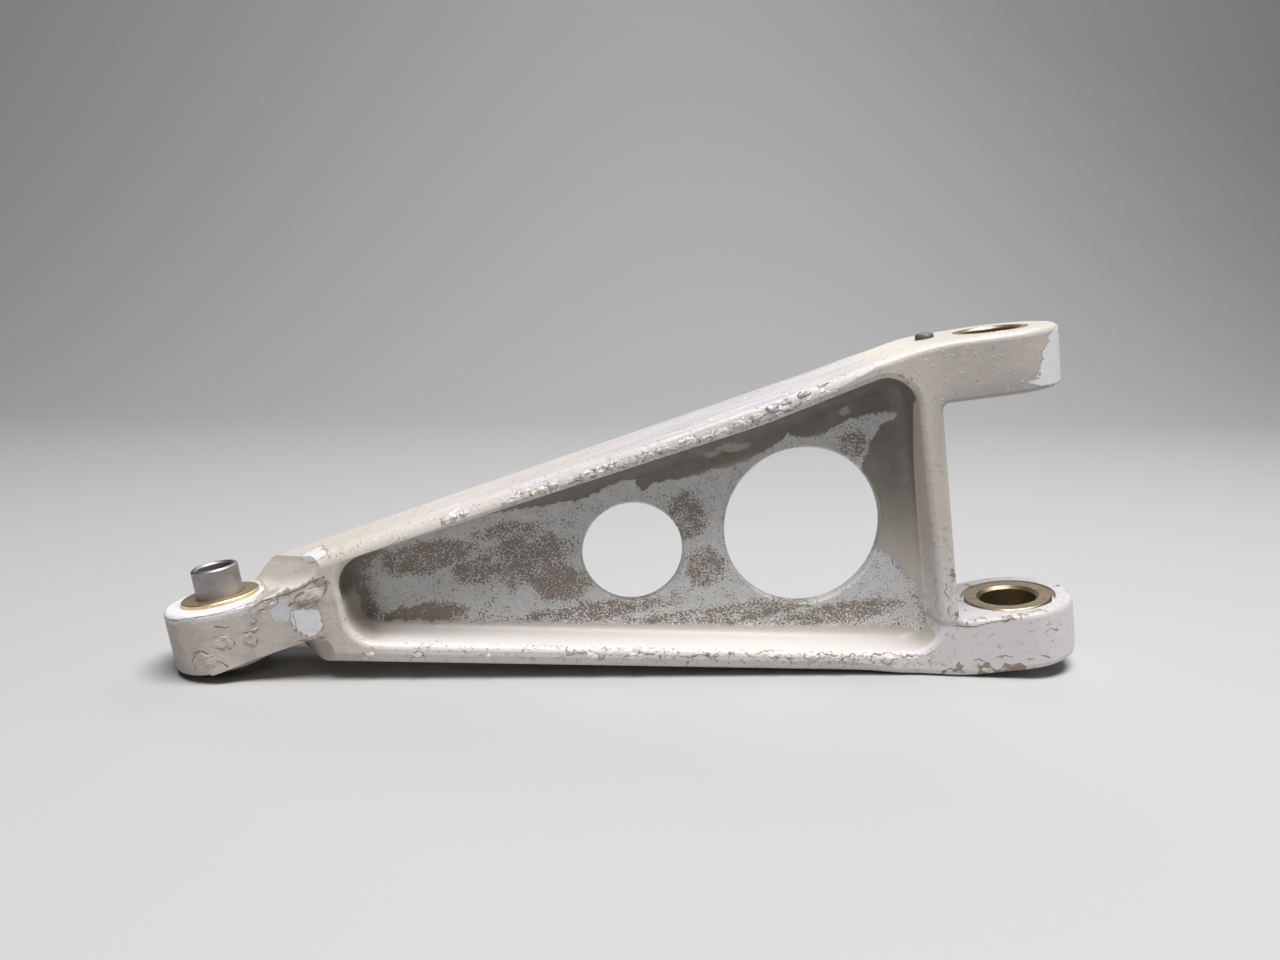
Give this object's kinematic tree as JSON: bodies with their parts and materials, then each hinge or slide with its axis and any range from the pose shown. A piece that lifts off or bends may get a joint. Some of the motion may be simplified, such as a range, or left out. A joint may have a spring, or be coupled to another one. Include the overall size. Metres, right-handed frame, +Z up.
{
  "type": "torque link",
  "caption": "A-frame torque link for an aircraft landing gear: flanged single lug at the apex, clevis at the wide end, pocketed web with lightening holes.",
  "frame": {"origin": "centre of the overall box in plan, on the surface the link stands on", "axes": "+X from the apex lug towards the clevis, along the floor; +Z up, the bores lean 9 degrees from it towards -X; +Y through the thickness of the web, away from the pictured face"},
  "size_m": [0.2694, 0.0364, 0.103],
  "materials": {
    "link_paint": "worn gloss off-white paint over primer",
    "bush_bronze": "machined bronze",
    "clevis_bronze": "dull worn bronze",
    "sleeve_steel": "satin turned steel",
    "plug_metal": "dull"
  },
  "bodies": {
    "link": {"link_body": "link_paint", "apex_bush_upper": "bush_bronze", "apex_bush_lower": "bush_bronze", "clevis_bush_upper": "clevis_bronze", "clevis_bush_lower": "clevis_bronze", "arm_plug": "plug_metal"},
    "sleeve": {"apex_sleeve": "sleeve_steel"}
  },
  "joints": [
    {"name": "sleeve_spin", "type": "hinge", "parent": "link", "child": "sleeve", "pos_m": [-0.11882, 0, 0.01579], "axis": [-0.1564, 0, 0.9877], "continuous": true}
  ]
}
